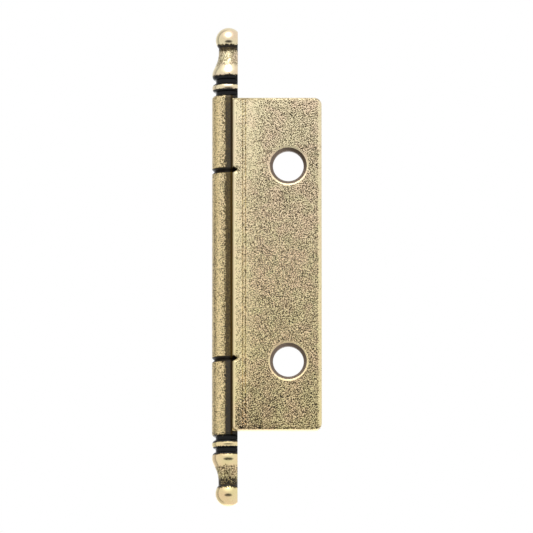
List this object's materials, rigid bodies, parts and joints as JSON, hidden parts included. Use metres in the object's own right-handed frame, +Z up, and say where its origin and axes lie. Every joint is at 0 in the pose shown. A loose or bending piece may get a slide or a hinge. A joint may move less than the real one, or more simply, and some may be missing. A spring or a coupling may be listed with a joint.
{
  "type": "dummy hinge",
  "caption": "One-piece dummy hinge: flat screw plate with countersunk holes beside a D-section barrel with false knuckles and turned ball tips, in aged brass.",
  "frame": {"origin": "midway between the two screw holes, on the plate's back face", "axes": "+X from the barrel to the plate's free edge, +Y out of the plate's back face into the furniture, +Z up along the barrel"},
  "size_m": [0.0177, 0.0062, 0.0786],
  "materials": {
    "aged_brass": "aged brass plating: fine dark speckle on the plate, black in the grooves, rubbed bright on edges and tips"
  },
  "bodies": {
    "root": {"hinge_casting": "aged_brass"}
  },
  "joints": []
}
